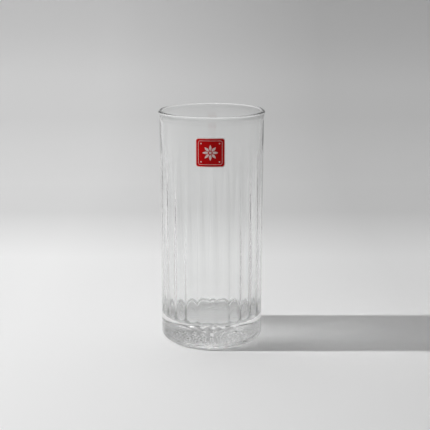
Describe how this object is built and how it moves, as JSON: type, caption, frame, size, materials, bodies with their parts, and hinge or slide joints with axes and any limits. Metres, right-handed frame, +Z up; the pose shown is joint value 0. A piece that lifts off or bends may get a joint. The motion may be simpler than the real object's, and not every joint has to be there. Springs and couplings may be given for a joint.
{
  "type": "glass tumbler",
  "caption": "Straight clear glass tumbler with a heavy base, flutes pressed into the inside of the wall, a smooth band under a rounded lip, and a small square label on the front.",
  "frame": {"origin": "centre of the foot, on the plane that it stands on", "axes": "+Z up along the glass's axis, -Y towards the label at the front, +X to the right seen from the front"},
  "size_m": [0.065, 0.065, 0.144],
  "materials": {
    "clear_glass": "clear pressed glass, fire polished",
    "label_print": "satin printed film"
  },
  "bodies": {
    "root": {"tumbler": "clear_glass", "label": "label_print"}
  },
  "joints": []
}
